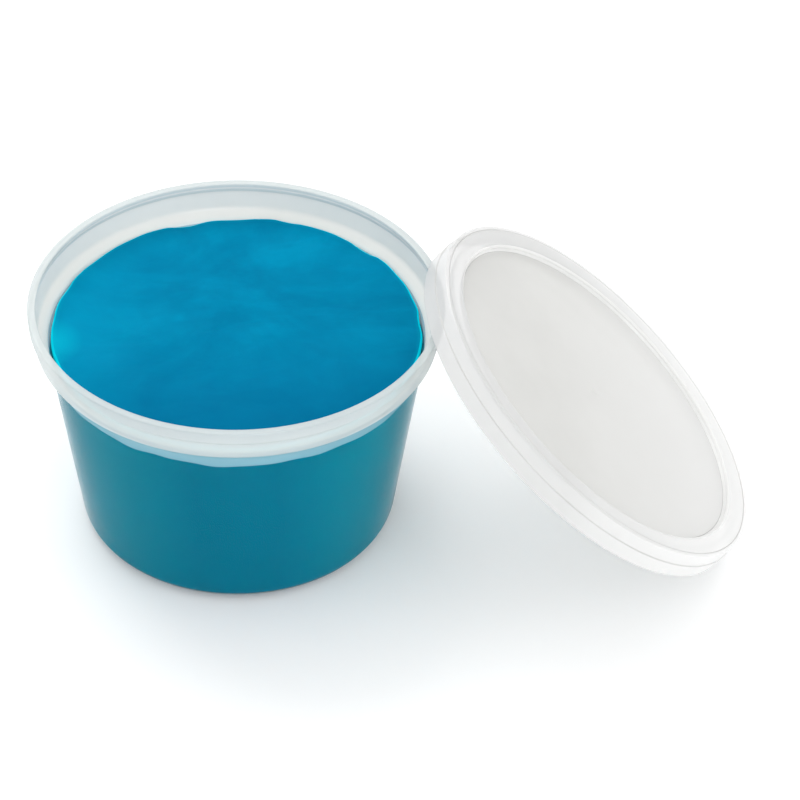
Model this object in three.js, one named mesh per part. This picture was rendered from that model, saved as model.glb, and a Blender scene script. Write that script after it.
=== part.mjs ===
// A round, translucent polypropylene tub filled with one mass of detailing clay,
// with its press-fit lid leaning against the rim. Millimetres, +Z up.
// The tub, the clay and the lid are three loose pieces, each a lathe-turned solid.
import * as THREE from 'three';

// ---- Tub ----
const TUB_HEIGHT = 73.1;
const RIM_RADIUS = 58.5;
const LIP_INNER_RADIUS = 56.1;
const LIP_HEIGHT = 3.8;
const LIP_UNDERCUT = 0.6;
const COLLAR_FOOT_RADIUS = 56.9;
const COLLAR_HEIGHT = 9.2;
const SHOULDER_HEIGHT = 2.9;
const TUB_WALL = 0.8;
const WALL_DRAFT = THREE.MathUtils.degToRad(7.76);
const BASE_CORNER_RADIUS = 3.0;
const BASE_CORNER_CENTRE = 42.6;
const BASE_THICKNESS = 1.0;
const FOOT_INNER_RADIUS = 38.5;
const FOOT_RECESS = 1.2;

// ---- Clay ----
const CLAY_GAP = 0.3;
const CLAY_TOP = 63.0;
const CLAY_CONTACT_TOP = 57.4;
const CLAY_TOP_RADIUS = 51.9;
const CLAY_EDGE_ROUND = 1.6;
const CLAY_CROWN = 0.6;

// ---- Lid, measured from the bottom edge of its skirt ----
const LID_HEIGHT = 9.0;
const LID_WALL = 0.7;
const SKIRT_RADIUS = 59.6;
const SKIRT_STEP_HEIGHT = 4.6;
const SKIRT_STEP = 0.25;
const LID_TOP_RADIUS = 59.2;
const LID_CORNER_ROUND = 0.6;
const PANEL_RADIUS = 51.2;
const PANEL_RECESS = 2.0;
const SEAL_RIB_RADIUS = 55.3;
const SEAL_RIB_DEPTH = 2.0;
const GATE_RADIUS = 1.1;
const GATE_HEIGHT = 0.4;

// ---- Lid's place: its low edge stands on the table and its high edge is over the rim ----
const LID_TILT = THREE.MathUtils.degToRad(40.0);
const LID_FOOT_X = 143.5;
const LID_FOOT_Y = -6.4;

// ---- Tessellation ----
const TURNS = 72;
const CORNER_STEPS = 4;

// Points of an arc from one angle to another, in radians, in the plane of a lathe profile.
function arc(centreR, centreZ, radius, from, to, steps) {
  const points = [];
  for (let i = 0; i <= steps; i += 1) {
    const angle = from + ((to - from) * i) / steps;
    points.push([centreR + radius * Math.cos(angle), centreZ + radius * Math.sin(angle)]);
  }
  return points;
}

// Outer radius of the tub's tapered wall at a height above the table.
function wallRadius(z) {
  const tangentRadius = BASE_CORNER_CENTRE + BASE_CORNER_RADIUS * Math.cos(WALL_DRAFT);
  const tangentHeight = BASE_CORNER_RADIUS * (1 - Math.sin(WALL_DRAFT));
  return tangentRadius + (z - tangentHeight) * Math.tan(WALL_DRAFT);
}

// Inner radius of the same wall. The wall is measured square to its surface.
function wallInnerRadius(z) {
  return wallRadius(z) - TUB_WALL / Math.cos(WALL_DRAFT);
}

// Turns a profile of [radius, height] points about the Z axis into a closed solid.
function turned(profile, name, material) {
  const points = profile.map(([r, z]) => new THREE.Vector2(r, z));
  const geometry = new THREE.LatheGeometry(points, TURNS);
  geometry.rotateX(Math.PI / 2);
  const mesh = new THREE.Mesh(geometry, material);
  mesh.name = name;
  return mesh;
}

function frostedPlastic(colour, opacity) {
  return new THREE.MeshStandardMaterial({
    color: colour,
    roughness: 0.35,
    metalness: 0,
    transparent: true,
    opacity,
  });
}

// The tub: foot ring, tapered wall, stacking shoulder, collar and rolled lip.
function makeTub() {
  const collarTop = TUB_HEIGHT - LIP_HEIGHT;
  const collarFoot = TUB_HEIGHT - COLLAR_HEIGHT;
  const shoulderFoot = collarFoot - SHOULDER_HEIGHT;
  const floorTop = FOOT_RECESS + BASE_THICKNESS;
  const lipNeckRadius = RIM_RADIUS - LIP_UNDERCUT;
  const lipRound = 0.8;
  const collarInnerFoot = COLLAR_FOOT_RADIUS - TUB_WALL;
  const profile = [
    [0, FOOT_RECESS],
    [FOOT_INNER_RADIUS - 1, FOOT_RECESS],
    [FOOT_INNER_RADIUS, 0],
    ...arc(BASE_CORNER_CENTRE, BASE_CORNER_RADIUS, BASE_CORNER_RADIUS, -Math.PI / 2, -WALL_DRAFT, CORNER_STEPS),
    [wallRadius(shoulderFoot), shoulderFoot],
    [COLLAR_FOOT_RADIUS, collarFoot],
    [lipNeckRadius, collarTop],
    [RIM_RADIUS - 0.1, collarTop + 0.3],
    [RIM_RADIUS, TUB_HEIGHT - lipRound],
    [RIM_RADIUS - lipRound, TUB_HEIGHT],
    [LIP_INNER_RADIUS + 0.3, TUB_HEIGHT],
    [LIP_INNER_RADIUS, TUB_HEIGHT - 0.4],
    [LIP_INNER_RADIUS + 0.5, collarTop + 1],
    [collarInnerFoot, collarFoot + TUB_WALL],
    [wallInnerRadius(shoulderFoot + TUB_WALL), shoulderFoot + TUB_WALL],
    [wallInnerRadius(floorTop + BASE_CORNER_RADIUS), floorTop + BASE_CORNER_RADIUS],
    [BASE_CORNER_CENTRE, floorTop],
    [0, floorTop],
  ];
  return turned(profile, 'tub', frostedPlastic(0xe6ecea, 0.45));
}

// The clay: one soft mass that fills the tub to a little under the shoulder.
function makeClay() {
  const bottom = FOOT_RECESS + BASE_THICKNESS + CLAY_GAP;
  const cornerHeight = bottom + BASE_CORNER_RADIUS;
  const profile = [
    [0, bottom],
    [BASE_CORNER_CENTRE - CLAY_GAP, bottom],
    [wallInnerRadius(cornerHeight) - CLAY_GAP, cornerHeight],
    [wallInnerRadius(CLAY_CONTACT_TOP) - CLAY_GAP, CLAY_CONTACT_TOP],
    [CLAY_TOP_RADIUS, CLAY_TOP - CLAY_EDGE_ROUND],
    [CLAY_TOP_RADIUS - CLAY_EDGE_ROUND, CLAY_TOP],
    [0, CLAY_TOP + CLAY_CROWN],
  ];
  const material = new THREE.MeshStandardMaterial({
    color: 0x008bb8,
    roughness: 0.6,
    metalness: 0,
  });
  return turned(profile, 'clay_bar', material);
}

// The lid: a stepped skirt, a flat ring over the tub's lip and a recessed centre panel.
function makeLid() {
  const panelTop = LID_HEIGHT - PANEL_RECESS;
  const panelUnder = panelTop - LID_WALL;
  const ringUnder = LID_HEIGHT - LID_WALL;
  const channelInner = PANEL_RADIUS + LID_WALL;
  const ribHalf = 0.4;
  const profile = [
    [0, panelUnder],
    [channelInner, panelUnder],
    [channelInner, ringUnder],
    [SEAL_RIB_RADIUS - ribHalf, ringUnder],
    [SEAL_RIB_RADIUS - ribHalf, ringUnder - SEAL_RIB_DEPTH],
    [SEAL_RIB_RADIUS + ribHalf, ringUnder - SEAL_RIB_DEPTH],
    [SEAL_RIB_RADIUS + ribHalf, ringUnder],
    [LID_TOP_RADIUS - LID_WALL, ringUnder],
    [SKIRT_RADIUS - LID_WALL, 0],
    [SKIRT_RADIUS, 0],
    [SKIRT_RADIUS - 0.1, SKIRT_STEP_HEIGHT],
    [SKIRT_RADIUS - 0.1 - SKIRT_STEP, SKIRT_STEP_HEIGHT + SKIRT_STEP],
    ...arc(LID_TOP_RADIUS - LID_CORNER_ROUND, LID_HEIGHT - LID_CORNER_ROUND, LID_CORNER_ROUND, 0, Math.PI / 2, 3),
    [PANEL_RADIUS + 0.4, LID_HEIGHT],
    [PANEL_RADIUS, panelTop],
    [GATE_RADIUS, panelTop],
    [GATE_RADIUS * 0.6, panelTop + GATE_HEIGHT],
    [0, panelTop + GATE_HEIGHT],
  ];
  return turned(profile, 'lid', frostedPlastic(0xececea, 0.5));
}

// Tilts the lid with its open side towards the tub and stands its low edge on the table.
function leaningLid() {
  const leaning = new THREE.Group();
  leaning.add(makeLid());
  leaning.rotation.y = LID_TILT;
  const reach = SKIRT_RADIUS * Math.cos(LID_TILT);
  const lift = SKIRT_RADIUS * Math.sin(LID_TILT);
  leaning.position.set(LID_FOOT_X - reach, LID_FOOT_Y, lift);
  return leaning;
}

const object = new THREE.Group();
object.add(makeTub(), makeClay(), leaningLid());

// The origin is the middle of the footprint, on the table.
object.updateMatrixWorld(true);
const box = new THREE.Box3().setFromObject(object, true);
const centre = box.getCenter(new THREE.Vector3());
object.position.set(-centre.x, -centre.y, -box.min.z);

export default object;
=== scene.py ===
import math

import bpy
from mathutils import Matrix, Vector, noise


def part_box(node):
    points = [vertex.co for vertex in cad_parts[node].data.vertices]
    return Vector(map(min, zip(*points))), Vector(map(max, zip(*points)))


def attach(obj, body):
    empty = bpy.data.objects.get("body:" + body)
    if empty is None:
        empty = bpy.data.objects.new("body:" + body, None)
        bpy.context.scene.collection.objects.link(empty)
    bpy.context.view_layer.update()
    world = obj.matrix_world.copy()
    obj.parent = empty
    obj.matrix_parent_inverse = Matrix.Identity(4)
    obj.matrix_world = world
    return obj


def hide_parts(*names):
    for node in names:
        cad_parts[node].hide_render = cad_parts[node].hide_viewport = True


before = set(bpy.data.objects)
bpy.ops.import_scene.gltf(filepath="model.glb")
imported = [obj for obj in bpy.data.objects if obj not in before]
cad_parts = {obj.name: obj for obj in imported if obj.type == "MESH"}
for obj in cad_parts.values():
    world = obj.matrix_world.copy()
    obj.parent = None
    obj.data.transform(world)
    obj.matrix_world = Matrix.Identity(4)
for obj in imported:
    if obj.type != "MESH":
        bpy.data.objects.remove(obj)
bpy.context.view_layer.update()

# A translucent tub of blue detailing clay, with its press-fit lid leaning beside the rim.
# Metres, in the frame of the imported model.

MM = 0.001

# ---- Mesh density ----
TURNS = 288
CORNER_STEPS = 5
BASE_CORNER_STEPS = 10
CLAY_FOOT_STEPS = 6
CLAY_SIDE_STEPS = 16
CLAY_NECK_STEPS = 4
CLAY_LIP_STEPS = 5
CLAY_TOP_STEPS = 46

# ---- What the frame says ----
tub_low, tub_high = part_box("tub")
clay_low, clay_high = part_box("clay_bar")
lid_low, lid_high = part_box("lid")

RIM_RADIUS = (tub_high[0] - tub_low[0]) / 2
TUB_HEIGHT = tub_high[2]
TUB_AXIS = Vector(((tub_low[0] + tub_high[0]) / 2, (tub_low[1] + tub_high[1]) / 2, 0))
LID_MIDDLE = Vector([(low + high) / 2 for low, high in zip(lid_low, lid_high)])

# ---- Tub. The CAD tub's base corner sets the cone of the wall; the visible corner is softer ----
WALL = 0.8 * MM
WALL_DRAFT = math.radians(7.76)
CAD_CORNER = 3.0 * MM
CAD_CORNER_CENTRE = 42.6 * MM
VISIBLE_CORNER = 6.0 * MM
FOOT_INNER_RADIUS = 38.5 * MM
FOOT_RECESS = 1.2 * MM
FLOOR_TOP = 2.2 * MM
LIP_INNER_RADIUS = RIM_RADIUS - 2.4 * MM
LIP_HEIGHT = 3.8 * MM
LIP_GROOVE = 0.7 * MM
COLLAR_TOP = TUB_HEIGHT - LIP_HEIGHT
COLLAR_FOOT_RADIUS = RIM_RADIUS - 1.6 * MM
COLLAR_FOOT = TUB_HEIGHT - 9.2 * MM
SHOULDER_FOOT = COLLAR_FOOT - 2.9 * MM

# ---- Clay ----
CLAY_BOTTOM = clay_low[2]
CLAY_CORNER = 1.0 * MM
CLAY_TOP = clay_high[2] - 0.55 * MM
CLAY_CONTACT = 57.4 * MM
CLAY_CONTACT_WAVE = 1.1 * MM
CLAY_EDGE_RADIUS = 52.5 * MM
CLAY_LIP_ROUND = 0.7 * MM
CLAY_BACK_SPREAD = 1.0 * MM
CLAY_PRESS = 0.05 * MM
CLAY_NECK_GAP = 0.35 * MM
CLAY_NECK_FLARE = 0.25 * MM
CLAY_DROOP_REACH = 3.5 * MM

# ---- Lid, from the bottom edge of its skirt ----
LID_TILT = math.radians(40.0)
LID_HEIGHT = 9.0 * MM
LID_WALL = 0.7 * MM
SKIRT_RADIUS = 59.6 * MM
LID_TOP_RADIUS = 59.2 * MM
SKIRT_STEP = 4.6 * MM
PANEL_RADIUS = 51.2 * MM
PANEL_TOP = LID_HEIGHT - 2.0 * MM
SEAL_RIB_RADIUS = 55.3 * MM
SEAL_RIB_DEPTH = 2.0 * MM
RING_GROOVE_RADIUS = 57.9 * MM
CREASE = 0.25 * MM
# Width of the painted highlight on the step down to the panel.
HIGHLIGHT_RIDGE_WIDTH = 1.2 * MM

# ---- Camera, from the tub's axis ----
CAMERA_BACK = 0.6675
CAMERA_HEIGHT = 0.5866
CAMERA_YAW = math.radians(4.0)
CAMERA_PITCH = math.radians(39.44)
CAMERA_ROLL = math.radians(-1.82)
CAMERA_LENS = 135
CAMERA_SENSOR = 36

# ---- Finish ----
MILKY_ROUGHNESS = 0.34
WET_ROUGHNESS = 0.15
ROUGHNESS_GRAIN = 0.04
WET_INDEX = 1.1
WET_GLOSS = 0.3
CLAY_GLOSS = 0.01

# ---- Clay colours, linear red, green and blue ----
CLAY_DARK = (0.0, 0.185, 0.345)
CLAY_LIGHT = (0.0, 0.25, 0.435)
CLAY_MOTTLE = (0.0, 0.165, 0.315)
CLAY_STREAK = (0.0, 0.30, 0.52)
# Painted shade: darker tint for the front of the clay's top.
CLAY_FRONT_SHADE = (0.0, 0.135, 0.285)
# Painted light: lighter tint toward the clay's left edge.
CLAY_LEFT_LIGHT = (0.0, 0.33, 0.55)
# Painted highlight: one bright spot near the clay's left edge.
CLAY_SPOT_HIGHLIGHT = (0.0, 0.5, 0.68)
# Painted highlight: bright line along the clay's thin top lip.
CLAY_EDGE_HIGHLIGHT = (0.0, 0.68, 0.86)
# Painted shade for the clay's sides below the lip, lighter toward the flanks as painted light.
CLAY_SIDE_MIDDLE_SHADE = (0.0, 0.152, 0.24)
CLAY_SIDE_FLANK_LIGHT = (0.0, 0.225, 0.31)

# ---- Where the clay's top gets a painted highlight spot, from the tub's axis ----
HIGHLIGHT_SPOT_PLACE = (-0.0545, -0.005, CLAY_TOP)
HIGHLIGHT_SPOT_REACH = 0.0115

# ---- Studio: power in watts, sizes and places in metres ----
WORLD_STRENGTH = 0.88
FLOOR_GLOW = 0.1
FLOOR_HALF = 6.0
SOFTBOXES = (
    # name, place, target, size, power
    ("key", (-0.35, 0.6, 0.9), (0, 0, 0.04), 0.8, 4.6),
    ("front_fill", (0.15, -0.9, 0.3), (0, 0, 0.04), 0.7, 1.6),
    ("right_fill", (0.5, -0.25, 0.28), (0.08, 0, 0.03), 0.4, 0.35),
)
GLINT_DIRECTION = Vector((0.06, -0.79, 0.61))
GLINT_DISTANCE = 0.7
GLINT_SIZE = 0.2
GLINT_POWER = 1.6


# ---------------------------------------------------------------- geometry

def softened(outline):
    """Points of an outline of (radius, height, rounding), with each rounded corner as a short curve."""
    points = []
    for i, (r, z, rounding) in enumerate(outline):
        here = Vector((r, z))
        if rounding == 0 or i in (0, len(outline) - 1):
            points.append(here)
            continue
        before = Vector(outline[i - 1][:2]) - here
        after = Vector(outline[i + 1][:2]) - here
        reach = min(rounding, 0.45 * before.length, 0.45 * after.length)
        start = here + before.normalized() * reach
        end = here + after.normalized() * reach
        for step in range(CORNER_STEPS + 1):
            t = step / CORNER_STEPS
            points.append(start * (1 - t) ** 2 + here * 2 * t * (1 - t) + end * t * t)
    return points


def turned_mesh(name, profile_at):
    """A closed mesh about the Z axis. profile_at(angle) gives the same number of points at every
    angle, from the axis underneath, round the outside and back to the axis."""
    angles = [2 * math.pi * turn / TURNS for turn in range(TURNS)]
    profiles = [profile_at(angle) for angle in angles]
    count = len(profiles[0]) - 2
    vertices = [(0, 0, profiles[0][0][1]), (0, 0, profiles[0][-1][1])]
    for angle, profile in zip(angles, profiles):
        for r, z in profile[1:-1]:
            vertices.append((r * math.cos(angle), r * math.sin(angle), z))
    faces = []
    for turn in range(TURNS):
        here = 2 + turn * count
        there = 2 + ((turn + 1) % TURNS) * count
        faces.append((0, there, here))
        faces.append((1, here + count - 1, there + count - 1))
        for i in range(count - 1):
            faces.append((here + i, there + i, there + i + 1, here + i + 1))
    mesh = bpy.data.meshes.new(name)
    mesh.from_pydata(vertices, [], faces)
    mesh.update()
    mesh.polygons.foreach_set("use_smooth", [True] * len(mesh.polygons))
    return mesh


def add_piece(name, mesh, materials):
    piece = bpy.data.objects.new(name, mesh)
    bpy.context.scene.collection.objects.link(piece)
    for material in materials:
        mesh.materials.append(material)
    return piece


def wall_radius(z):
    """Outer radius of the tub's tapered wall."""
    tangent_radius = CAD_CORNER_CENTRE + CAD_CORNER * math.cos(WALL_DRAFT)
    tangent_height = CAD_CORNER * (1 - math.sin(WALL_DRAFT))
    return tangent_radius + (z - tangent_height) * math.tan(WALL_DRAFT)


def wall_inner_radius(z):
    """Inner radius of the same wall, whose thickness is measured square to its surface."""
    return wall_radius(z) - WALL / math.cos(WALL_DRAFT)


def visible_base_corner():
    """The arc from the foot ring to the wall, softer than the corner of the CAD tub."""
    top = VISIBLE_CORNER * (1 - math.sin(WALL_DRAFT))
    centre = wall_radius(top) - VISIBLE_CORNER * math.cos(WALL_DRAFT)
    points = []
    for step in range(BASE_CORNER_STEPS + 1):
        angle = -math.pi / 2 + (math.pi / 2 - WALL_DRAFT) * step / BASE_CORNER_STEPS
        r = centre + VISIBLE_CORNER * math.cos(angle)
        z = VISIBLE_CORNER * (1 + math.sin(angle))
        points.append((r, z, 0))
    return points


def outer_radius(z):
    """Outer radius of the tub at any height: wall, shoulder, then collar."""
    if z > COLLAR_FOOT:
        return COLLAR_FOOT_RADIUS
    if z > SHOULDER_FOOT:
        rise = (z - SHOULDER_FOOT) / (COLLAR_FOOT - SHOULDER_FOOT)
        return wall_radius(SHOULDER_FOOT) * (1 - rise) + COLLAR_FOOT_RADIUS * rise
    return wall_radius(z)


# ---------------------------------------------------------------- materials

class Nodes:
    """A new node material, with short ways to add and link nodes."""

    def __init__(self, name):
        self.material = bpy.data.materials.new(name)
        self.material.use_nodes = True
        self.tree = self.material.node_tree
        self.shader = self.tree.nodes["Principled BSDF"]
        self.place = self.add("ShaderNodeTexCoord").outputs["Object"]

    def add(self, kind, **values):
        node = self.tree.nodes.new(kind)
        for key, value in values.items():
            setattr(node, key, value)
        return node

    def link(self, source, target):
        self.tree.links.new(source, target)

    def set(self, name, value):
        """A value that is the same all over the surface."""
        self.shader.inputs[name].default_value = value

    def axes(self):
        """The object coordinates, as the outputs X, Y and Z."""
        node = self.add("ShaderNodeSeparateXYZ")
        self.link(self.place, node.inputs[0])
        return node.outputs

    def noise(self, scale, detail, roughness=0.5, distortion=0.0, place=None):
        node = self.add("ShaderNodeTexNoise")
        node.inputs["Scale"].default_value = scale
        node.inputs["Detail"].default_value = detail
        node.inputs["Roughness"].default_value = roughness
        node.inputs["Distortion"].default_value = distortion
        self.link(place or self.place, node.inputs["Vector"])
        return node.outputs["Fac"]

    def stretched(self, scale):
        """Object coordinates scaled by (x, y, z)."""
        node = self.add("ShaderNodeMapping")
        node.inputs["Scale"].default_value = scale
        self.link(self.place, node.inputs["Vector"])
        return node.outputs["Vector"]

    def range(self, value, low, high, to_low, to_high):
        """Maps low..high to to_low..to_high, and holds the end values outside."""
        node = self.add("ShaderNodeMapRange")
        node.inputs["From Min"].default_value = low
        node.inputs["From Max"].default_value = high
        node.inputs["To Min"].default_value = to_low
        node.inputs["To Max"].default_value = to_high
        self.link(value, node.inputs["Value"])
        return node.outputs["Result"]

    def mix(self, factor, first, second):
        """Mixes two colours, each a tuple or a socket. The node's sockets 6 and 7 are its colours A
        and B, and its output 2 is the mixed colour."""
        node = self.add("ShaderNodeMix", data_type="RGBA")
        self.link(factor, node.inputs["Factor"])
        for socket, colour in ((node.inputs[6], first), (node.inputs[7], second)):
            if isinstance(colour, tuple):
                socket.default_value = (*colour, 1)
            else:
                self.link(colour, socket)
        return node.outputs[2]

    def sum(self, first, second):
        node = self.add("ShaderNodeMath", operation="ADD")
        self.link(first, node.inputs[0])
        self.link(second, node.inputs[1])
        return node.outputs[0]

    def bump(self, height, strength, distance, normal=None):
        node = self.add("ShaderNodeBump")
        node.inputs["Strength"].default_value = strength
        node.inputs["Distance"].default_value = distance
        self.link(height, node.inputs["Height"])
        if normal is not None:
            self.link(normal, node.inputs["Normal"])
        return node.outputs["Normal"]


def finish_plastic(nodes, light, dark, roughness):
    """Colour clouds, satin grain with scuffs and a slight moulding ripple on polypropylene."""
    shader = nodes.shader
    cloud = nodes.range(nodes.noise(28, 4, roughness=0.55), 0.35, 0.65, 0, 1)
    nodes.link(nodes.mix(cloud, dark, light), shader.inputs["Base Color"])
    scuff_noise = nodes.noise(1, 3, place=nodes.stretched((60, 60, 260)))
    scuff = nodes.range(scuff_noise, 0.5, 0.8, 0, 0.08)
    low = roughness - ROUGHNESS_GRAIN
    high = roughness + ROUGHNESS_GRAIN
    grain = nodes.range(nodes.noise(60, 3), 0.3, 0.7, low, high)
    nodes.link(nodes.sum(grain, scuff), shader.inputs["Roughness"])
    ripple = nodes.bump(nodes.noise(35, 1), 0.15, 0.0004)
    nodes.link(nodes.bump(nodes.noise(900, 2), 0.06, 0.0001, ripple), shader.inputs["Normal"])


def wet_plastic(name, light, dark):
    """Polypropylene where the clay sticks to it, so that it looks clear."""
    nodes = Nodes(name)
    finish_plastic(nodes, light, dark, WET_ROUGHNESS)
    nodes.set("Transmission Weight", 1.0)
    nodes.set("IOR", WET_INDEX)
    nodes.set("Specular IOR Level", WET_GLOSS)
    return nodes.material


def milky_plastic(name, light, dark, cover, lit_far_colour=None):
    """Polypropylene with air behind it. cover is the share of light that one surface scatters.
    With a far colour, the plastic turns to that colour along the object's X axis, as a painted light
    gradient."""
    nodes = Nodes(name)
    finish_plastic(nodes, light, dark, MILKY_ROUGHNESS)
    # Painted light: the colour fades to the lighter far colour along X.
    if lit_far_colour is not None:
        fade = nodes.range(nodes.axes()["X"], -0.01, 0.04, 0, 1)
        near = nodes.shader.inputs["Base Color"].links[0].from_socket
        nodes.link(nodes.mix(fade, near, lit_far_colour), nodes.shader.inputs["Base Color"])
    clear = nodes.add("ShaderNodeBsdfTransparent")
    blend = nodes.add("ShaderNodeMixShader")
    blend.inputs[0].default_value = cover
    nodes.link(clear.outputs[0], blend.inputs[1])
    nodes.link(nodes.shader.outputs[0], blend.inputs[2])
    nodes.link(blend.outputs[0], nodes.tree.nodes["Material Output"].inputs["Surface"])
    return nodes.material


def clay_material():
    """Waxy blue putty: soft clouds, mottle and kneading streaks, with painted shade darker in front,
    painted light toward the left with one painted highlight spot, painted shade on the sides below the
    lip that lightens toward the flanks, and a painted highlight along the thin top lip."""
    nodes = Nodes("detailing_clay")
    shader = nodes.shader
    cloud = nodes.range(nodes.noise(26, 6, roughness=0.62, distortion=0.8), 0.35, 0.65, 0, 1)
    body = nodes.mix(cloud, CLAY_DARK, CLAY_LIGHT)
    mottle = nodes.range(nodes.noise(95, 4, roughness=0.6, distortion=0.6), 0.4, 0.7, 0, 0.35)
    body = nodes.mix(mottle, body, CLAY_MOTTLE)
    along = nodes.stretched((18, 60, 60))
    streak_noise = nodes.noise(1, 6, roughness=0.62, distortion=1.5, place=along)
    streak = nodes.range(streak_noise, 0.5, 0.8, 0, 0.4)
    body = nodes.mix(streak, body, CLAY_STREAK)
    axes = nodes.axes()
    # Painted shade: darker toward the front of the clay's top.
    near = nodes.range(axes["Y"], -0.05, 0.0, 0.85, 0)
    body = nodes.mix(near, body, CLAY_FRONT_SHADE)
    # Painted light: lighter toward the clay's left edge.
    left = nodes.range(axes["X"], -0.052, -0.025, 0.45, 0)
    body = nodes.mix(left, body, CLAY_LEFT_LIGHT)
    # Painted highlight: a bright spot that fades out with distance from its place.
    reach = nodes.add("ShaderNodeVectorMath", operation="DISTANCE")
    nodes.link(nodes.place, reach.inputs[0])
    reach.inputs[1].default_value = HIGHLIGHT_SPOT_PLACE
    spot_highlight = nodes.range(reach.outputs["Value"], 0.0, HIGHLIGHT_SPOT_REACH, 0.95, 0)
    body = nodes.mix(spot_highlight, body, CLAY_SPOT_HIGHLIGHT)
    # Painted shade on the sides below the lip, lightening toward the flanks as painted light.
    across = nodes.add("ShaderNodeMath", operation="ABSOLUTE")
    nodes.link(axes["X"], across.inputs[0])
    flank_light = nodes.range(across.outputs[0], 0.012, 0.04, 0, 1)
    side_shade_colour = nodes.mix(flank_light, CLAY_SIDE_MIDDLE_SHADE, CLAY_SIDE_FLANK_LIGHT)
    shaded_side = nodes.add("ShaderNodeAttribute", attribute_name="shaded_side")
    body = nodes.mix(shaded_side.outputs["Fac"], body, side_shade_colour)
    # Painted highlight along the thin top lip, weighted by the mesh's marks.
    edge = nodes.add("ShaderNodeAttribute", attribute_name="edge_highlight")
    nodes.link(nodes.mix(edge.outputs["Fac"], body, CLAY_EDGE_HIGHLIGHT), shader.inputs["Base Color"])
    nodes.link(nodes.range(nodes.noise(90, 4), 0.3, 0.7, 0.55, 0.7), shader.inputs["Roughness"])
    soft = nodes.bump(nodes.noise(110, 4), 0.2, 0.0004)
    nodes.link(nodes.bump(nodes.noise(1100, 3), 0.08, 0.0001, soft), shader.inputs["Normal"])
    nodes.set("Subsurface Weight", 0.15)
    nodes.set("Subsurface Radius", (0.1, 0.5, 1.0))
    nodes.set("Subsurface Scale", 0.003)
    nodes.set("Specular IOR Level", CLAY_GLOSS)
    return nodes.material


def floor_material():
    """Plain matt white, with a faint light of its own to stay pale."""
    nodes = Nodes("studio_floor")
    nodes.set("Emission Color", (1, 1, 1, 1))
    nodes.set("Emission Strength", FLOOR_GLOW)
    nodes.set("Base Color", (1, 1, 1, 1))
    nodes.set("Roughness", 1.0)
    nodes.set("Specular IOR Level", 0.0)
    return nodes.material


# ---------------------------------------------------------------- pieces

def contact_height(angle):
    """Height up to which the clay touches the wall, wavy round the tub."""
    around = Vector((math.cos(angle), math.sin(angle), 0))
    return CLAY_CONTACT + CLAY_CONTACT_WAVE * noise.noise(around * 5.0)


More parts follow.
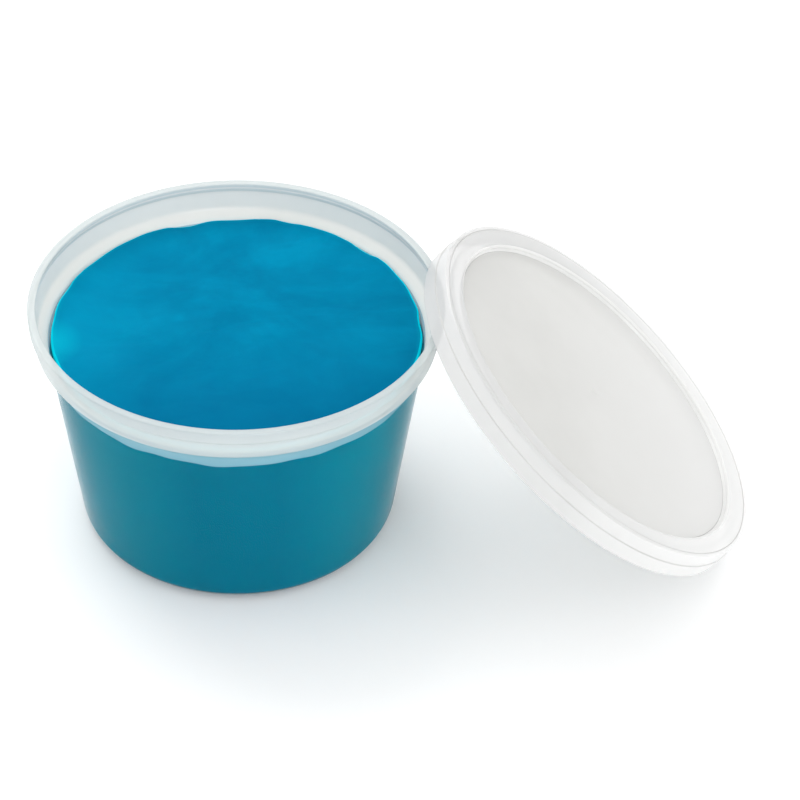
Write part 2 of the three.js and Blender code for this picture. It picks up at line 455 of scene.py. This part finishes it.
def make_tub():
    """Foot ring, tapered wall, stacking shoulder, collar and rolled lip, with every corner rounded.
    The wall looks clear where the clay touches it and milky above that line."""
    collar_inner = COLLAR_FOOT_RADIUS - WALL
    shoulder_inner = SHOULDER_FOOT + WALL
    outline = [
        # radius, height, rounding
        (0, FOOT_RECESS, 0),
        (FOOT_INNER_RADIUS - 1.0 * MM, FOOT_RECESS, 0.6 * MM),
        (FOOT_INNER_RADIUS, 0, 0.5 * MM),
        *visible_base_corner(),
        (wall_radius(SHOULDER_FOOT), SHOULDER_FOOT, 1.6 * MM),
        (COLLAR_FOOT_RADIUS - 0.7 * MM, COLLAR_FOOT - 0.7 * MM, 0.5 * MM),
        (COLLAR_FOOT_RADIUS, COLLAR_FOOT, 0.5 * MM),
        (RIM_RADIUS - LIP_GROOVE, COLLAR_TOP - 0.1 * MM, 0.4 * MM),
        (RIM_RADIUS - 0.15 * MM, COLLAR_TOP + 0.4 * MM, 0.5 * MM),
        (RIM_RADIUS, TUB_HEIGHT - 0.3 * MM, 0.3 * MM),
        (RIM_RADIUS - 0.3 * MM, TUB_HEIGHT, 0.3 * MM),
        (LIP_INNER_RADIUS, TUB_HEIGHT, 0.5 * MM),
        (LIP_INNER_RADIUS + 0.1 * MM, TUB_HEIGHT - 1.2 * MM, 0.5 * MM),
        (LIP_INNER_RADIUS + 0.6 * MM, TUB_HEIGHT - 2.3 * MM, 0.6 * MM),
        (collar_inner, COLLAR_FOOT + WALL, 0.9 * MM),
        (wall_inner_radius(shoulder_inner), shoulder_inner, 1.4 * MM),
        (CAD_CORNER_CENTRE + 1.9 * MM, FLOOR_TOP, 3.0 * MM),
        (0, FLOOR_TOP, 0),
    ]
    profile = softened(outline)
    outer_row = next(i for i, point in enumerate(profile) if point[1] > CLAY_CONTACT)
    inner_row = next(i for i in range(len(profile) - 1, 0, -1) if profile[i][1] > CLAY_CONTACT) + 1

    def profile_at(angle):
        z = contact_height(angle)
        outer = [*profile[:outer_row], (wall_radius(z), z)]
        inner = [(wall_inner_radius(z), z), *profile[inner_row:]]
        return [*outer, *profile[outer_row:inner_row], *inner]

    mesh = turned_mesh("tub_shell", profile_at)
    wall = wet_plastic("tub_wall_plastic", (0.95, 1.0, 1.0), (0.92, 0.98, 0.98))
    # Painted shade: the collar's outside is darker and bluish. Painted light: the mouth's inside is
    # lighter and warmer.
    collar = milky_plastic("tub_collar_painted_shade", (0.68, 0.735, 0.735), (0.645, 0.70, 0.70), 0.66)
    mouth = milky_plastic("tub_mouth_painted_light", (0.95, 0.92, 0.87), (0.92, 0.89, 0.84), 0.6)
    band = milky_plastic("tub_band_plastic", (0.28, 0.56, 0.67), (0.24, 0.51, 0.62), 0.64)
    # Painted shade: a darker line in the groove under the lip.
    crease = milky_plastic("tub_crease_painted_shade", (0.55, 0.62, 0.61), (0.5, 0.57, 0.56), 0.8)
    piece = add_piece("tub_shell", mesh, [wall, collar, band, crease, mouth])
    collar_shade_slot, band_slot, crease_shade_slot, mouth_light_slot = range(1, 5)
    crease_shade_half = 0.35 * MM
    collar_start = SHOULDER_FOOT + 1.0 * MM
    lip_start = TUB_HEIGHT - 1.0 * MM
    for face in mesh.polygons:
        x, y, z = face.center
        radius = face.center.xy.length
        outside = radius > outer_radius(z) - WALL / 2
        # The groove under the lip gets the painted shade.
        if abs(z - COLLAR_TOP) < crease_shade_half and outside:
            face.material_index = crease_shade_slot
        # Collar faces outside and on the lip get the darker painted shade; those inside the mouth get
        # the painted light.
        elif z > collar_start:
            face.material_index = collar_shade_slot if outside or z > lip_start else mouth_light_slot
        elif z > contact_height(math.atan2(y, x)):
            face.material_index = band_slot
    piece.location = TUB_AXIS
    return piece


def clay_edge(angle):
    """How far the top edge of the clay draws back from the wall, and how far it sinks, in metres."""
    around = Vector((math.cos(angle), math.sin(angle), 0))
    slow = noise.noise(around * 1.7 + Vector((3.1, 0, 5.2)))
    quick = noise.noise(around * 7.5 + Vector((0, 8.4, 1.3)))
    scallop = max(0.0, noise.noise(around * 4.2 + Vector((6.6, 2.2, 0))))
    back = (0.1 + 0.8 * scallop + 0.15 * quick) * MM
    sink = (0.5 * slow + 0.8 * scallop + 0.25 * quick) * MM
    return back, sink


def clay_surface(x, y):
    """Height of the clay's top over its mean level: broad swells, kneading folds and dimples."""
    place = Vector((x, y, 0)) / (10 * MM)
    swell = noise.noise(place * 0.35 + Vector((1.7, 4.4, 2.0)))
    fold = abs(noise.noise(Vector((place.x * 0.28, place.y * 0.9, 3.3)) + Vector((0, swell, 0))))
    crease = -math.exp(-(fold / 0.045) ** 2)
    dimple = noise.noise(place * 2.2 + Vector((9.1, 0.4, 7.0)))
    return (0.5 * swell + 0.1 * crease + 0.05 * dimple) * MM


def make_clay():
    """The clay, from the middle of its underside, up the wall and over a thin rounded lip to the
    middle of its top. Two attributes mark its points: one for the painted highlight along the lip, one
    for the part below the lip, which gets painted shade. It overlaps the plastic, so that no air shows
    between them."""
    side_rows = CLAY_FOOT_STEPS + CLAY_SIDE_STEPS + CLAY_NECK_STEPS
    side_foot = CLAY_BOTTOM + CLAY_CORNER
    foot_radius = wall_inner_radius(side_foot) + CLAY_PRESS
    # Weights of the painted highlight on the neck, the lip and the lip's inner end.
    neck_highlight = 0.6
    lip_highlight = 1.0
    inner_lip_highlight = 0.1
    edge_highlight = []
    shaded_side = []

    def profile_at(angle):
        back, sink = clay_edge(angle)
        contact = contact_height(angle)
        spread = CLAY_BACK_SPREAD * max(0.0, math.sin(angle)) ** 2
        edge_radius = CLAY_EDGE_RADIUS - back + spread
        across = (math.cos(angle), math.sin(angle))
        points = [(0, CLAY_BOTTOM)]
        marks = []
        for step in range(1, CLAY_FOOT_STEPS + 1):
            turn = math.pi / 2 * step / CLAY_FOOT_STEPS
            points.append((
                foot_radius - CLAY_CORNER * (1 - math.sin(turn)),
                CLAY_BOTTOM + CLAY_CORNER * (1 - math.cos(turn)),
            ))
            marks.append(0)
        for step in range(1, CLAY_SIDE_STEPS + 1):
            z = side_foot + (contact - side_foot) * step / CLAY_SIDE_STEPS
            points.append((wall_inner_radius(z) + CLAY_PRESS, z))
            marks.append(0)
        edge_swell = clay_surface(edge_radius * across[0], edge_radius * across[1])
        lip_height = CLAY_TOP - sink - CLAY_LIP_ROUND + edge_swell
        for step in range(1, CLAY_NECK_STEPS + 1):
            t = step / CLAY_NECK_STEPS
            z = contact + (lip_height - contact) * t
            by_wall = wall_inner_radius(z) - CLAY_NECK_GAP
            points.append((min(by_wall, edge_radius + CLAY_NECK_FLARE * (1 - t)), z))
            marks.append(neck_highlight * t)
        for step in range(1, CLAY_LIP_STEPS + 1):
            turn = math.pi / 2 * step / CLAY_LIP_STEPS
            points.append((
                edge_radius - CLAY_LIP_ROUND * (1 - math.cos(turn)),
                lip_height + CLAY_LIP_ROUND * math.sin(turn),
            ))
            marks.append(lip_highlight if step < CLAY_LIP_STEPS else inner_lip_highlight)
        inner = edge_radius - CLAY_LIP_ROUND
        for step in range(1, CLAY_TOP_STEPS):
            r = inner * (1 - step / CLAY_TOP_STEPS)
            droop = sink * math.exp(-(inner - r) / CLAY_DROOP_REACH)
            points.append((r, CLAY_TOP - droop + clay_surface(r * across[0], r * across[1])))
            marks.append(0)
        points.append((0, CLAY_TOP + clay_surface(0, 0)))
        edge_highlight.extend(marks)
        shaded_side.extend([1.0] * side_rows + [0.0] * (len(marks) - side_rows))
        return points

    mesh = turned_mesh("clay_mass", profile_at)
    for name, marks in (("edge_highlight", edge_highlight), ("shaded_side", shaded_side)):
        attribute = mesh.attributes.new(name, "FLOAT", "POINT")
        attribute.data.foreach_set("value", [0.0, 0.0, *map(float, marks)])
    piece = add_piece("clay_mass", mesh, [clay_material()])
    piece.location = TUB_AXIS
    return piece


def make_lid():
    """Stepped skirt, flat ring, recessed panel with a gate mark, and a sealing rib underneath."""
    panel_under = PANEL_TOP - LID_WALL
    ring_under = LID_HEIGHT - LID_WALL
    channel = PANEL_RADIUS + LID_WALL
    rib_foot = ring_under - SEAL_RIB_DEPTH
    outline = [
        # radius, height, rounding
        (0, panel_under, 0),
        (channel, panel_under, 0.6 * MM),
        (channel, ring_under, 0.4 * MM),
        (SEAL_RIB_RADIUS - 0.4 * MM, ring_under, 0.3 * MM),
        (SEAL_RIB_RADIUS - 0.35 * MM, rib_foot, 0.3 * MM),
        (SEAL_RIB_RADIUS + 0.35 * MM, rib_foot, 0.3 * MM),
        (SEAL_RIB_RADIUS + 0.4 * MM, ring_under, 0.3 * MM),
        (LID_TOP_RADIUS - LID_WALL, ring_under, 0.5 * MM),
        (SKIRT_RADIUS - LID_WALL, 0.1 * MM, 0.2 * MM),
        (SKIRT_RADIUS - 0.35 * MM, 0, 0.2 * MM),
        (SKIRT_RADIUS, 0.25 * MM, 0.3 * MM),
        (SKIRT_RADIUS - 0.1 * MM, SKIRT_STEP, 0.2 * MM),
        (SKIRT_RADIUS - 0.4 * MM, SKIRT_STEP + 0.25 * MM, 0.2 * MM),
        (LID_TOP_RADIUS, LID_HEIGHT - 0.25 * MM, 0.25 * MM),
        (LID_TOP_RADIUS - 0.25 * MM, LID_HEIGHT, 0.25 * MM),
        (RING_GROOVE_RADIUS + CREASE, LID_HEIGHT, 0.1 * MM),
        (RING_GROOVE_RADIUS, LID_HEIGHT - CREASE, 0.1 * MM),
        (RING_GROOVE_RADIUS - CREASE, LID_HEIGHT - 0.1 * MM, 0.1 * MM),
        (PANEL_RADIUS + 1.3 * MM, LID_HEIGHT - 0.1 * MM, 1.0 * MM),
        (PANEL_RADIUS + 0.4 * MM, PANEL_TOP + 0.1 * MM, 0.6 * MM),
        (PANEL_RADIUS + CREASE, PANEL_TOP - 0.1 * MM, 0.1 * MM),
        (PANEL_RADIUS, PANEL_TOP, 0.1 * MM),
        (1.5 * MM, PANEL_TOP, 0.3 * MM),
        (1.0 * MM, PANEL_TOP + 0.35 * MM, 0.2 * MM),
        (0, PANEL_TOP + 0.4 * MM, 0),
    ]
    profile = softened(outline)
    mesh = turned_mesh("lid_shell", lambda angle: profile)
    places = [(face.center.xy.length, face.center.z) for face in mesh.polygons]
    mesh.transform(Matrix.Rotation(LID_TILT, 4, "Y"))
    # Painted light: the rim and the panel turn lighter toward the lid's low end. The panel's darker
    # tint is painted shade.
    rim = milky_plastic(
        "lid_rim_plastic", (0.80, 0.80, 0.795), (0.77, 0.77, 0.765), 0.6,
        lit_far_colour=(0.94, 0.94, 0.935),
    )
    panel = milky_plastic(
        "lid_panel_plastic", (0.72, 0.72, 0.70), (0.68, 0.68, 0.66), 0.8,
        lit_far_colour=(0.80, 0.80, 0.79),
    )
    # Painted highlight: a lighter ridge where the ring steps down to the panel.
    ridge_highlight = milky_plastic("lid_ridge_painted_highlight", (0.88, 0.88, 0.87), (0.85, 0.85, 0.84), 0.75)
    # Painted shade: dark lines in the ring groove, round the panel's edge and at the skirt step.
    crease = milky_plastic("lid_crease_painted_shade", (0.62, 0.62, 0.61), (0.55, 0.55, 0.54), 0.8)
    piece = add_piece("lid_shell", mesh, [rim, panel, crease, ridge_highlight])
    panel_slot, crease_shade_slot, ridge_highlight_slot = range(1, 4)
    groove_half = 0.6 * CREASE
    step_rise = 0.1 * MM
    step_half = 0.15 * MM
    for face, (radius, height) in zip(mesh.polygons, places):
        above_panel = height > PANEL_TOP - LID_WALL / 2
        in_groove = abs(radius - RING_GROOVE_RADIUS) < groove_half
        if radius < PANEL_RADIUS:
            face.material_index = panel_slot
        # Painted shade on the ring groove, the panel's edge and the skirt step.
        elif in_groove and height > LID_HEIGHT - LID_WALL / 2:
            face.material_index = crease_shade_slot
        elif radius < PANEL_RADIUS + CREASE and above_panel:
            face.material_index = crease_shade_slot
        # Painted highlight on the ridge beside the panel's edge.
        elif radius < PANEL_RADIUS + HIGHLIGHT_RIDGE_WIDTH and above_panel:
            face.material_index = ridge_highlight_slot
        elif abs(height - SKIRT_STEP - step_rise) < step_half and radius > SKIRT_RADIUS - LID_WALL:
            face.material_index = crease_shade_slot
    corners = [[vertex.co[axis] for vertex in mesh.vertices] for axis in range(3)]
    middle = Vector([(min(values) + max(values)) / 2 for values in corners])
    piece.location = LID_MIDDLE - middle
    return piece


# ---------------------------------------------------------------- studio

def add_floor():
    mesh = bpy.data.meshes.new("floor")
    corners = [(-1, -1), (1, -1), (1, 1), (-1, 1)]
    mesh.from_pydata([(x * FLOOR_HALF, y * FLOOR_HALF, 0) for x, y in corners], [], [(0, 1, 2, 3)])
    floor = add_piece("floor", mesh, [floor_material()])


def add_softbox(name, place, target, size, power, only_gloss=False):
    """A round lamp turned to its target. With only_gloss, it is seen in reflections alone."""
    light = bpy.data.lights.new(name, "AREA")
    light.shape = "DISK"
    light.size = size
    light.energy = power
    lamp = bpy.data.objects.new(name, light)
    lamp.location = place
    lamp.rotation_euler = (Vector(target) - Vector(place)).to_track_quat("-Z", "Y").to_euler()
    lamp.visible_diffuse = not only_gloss
    bpy.context.scene.collection.objects.link(lamp)


def add_studio():
    add_floor()
    world = bpy.data.worlds.new("studio")
    world.use_nodes = True
    background = world.node_tree.nodes["Background"]
    background.inputs["Color"].default_value = (1, 1, 1, 1)
    background.inputs["Strength"].default_value = WORLD_STRENGTH
    bpy.context.scene.world = world
    for softbox in SOFTBOXES:
        add_softbox(*softbox)
    glint_place = LID_MIDDLE + GLINT_DIRECTION * GLINT_DISTANCE
    add_softbox("lid_glint", glint_place, LID_MIDDLE, GLINT_SIZE, GLINT_POWER, only_gloss=True)
    bpy.context.scene.view_settings.view_transform = "Standard"


def add_camera():
    """The camera at the photo's angle, placed from the tub's axis."""
    data = bpy.data.cameras.new("camera")
    data.lens = CAMERA_LENS
    data.sensor_width = CAMERA_SENSOR
    camera = bpy.data.objects.new("camera", data)
    sin_yaw, cos_yaw = math.sin(CAMERA_YAW), math.cos(CAMERA_YAW)
    sin_pitch, cos_pitch = math.sin(CAMERA_PITCH), math.cos(CAMERA_PITCH)
    forward = Vector((sin_yaw * cos_pitch, cos_yaw * cos_pitch, -sin_pitch))
    level = Vector((cos_yaw, -sin_yaw, 0))
    down = forward.cross(level)
    right = level * math.cos(CAMERA_ROLL) + down * math.sin(CAMERA_ROLL)
    up = level * math.sin(CAMERA_ROLL) - down * math.cos(CAMERA_ROLL)
    turn = Matrix((right, up, -forward)).transposed().to_4x4()
    place = TUB_AXIS + Vector((0, -CAMERA_BACK, CAMERA_HEIGHT))
    camera.matrix_world = Matrix.Translation(place) @ turn
    bpy.context.scene.collection.objects.link(camera)
    bpy.context.scene.camera = camera


# ---------------------------------------------------------------- assembly

add_camera()
add_studio()

tub = make_tub()
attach(tub, "tub")
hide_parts("tub")

clay = make_clay()
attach(clay, "clay")
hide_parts("clay_bar")

lid = make_lid()
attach(lid, "lid")
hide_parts("lid")
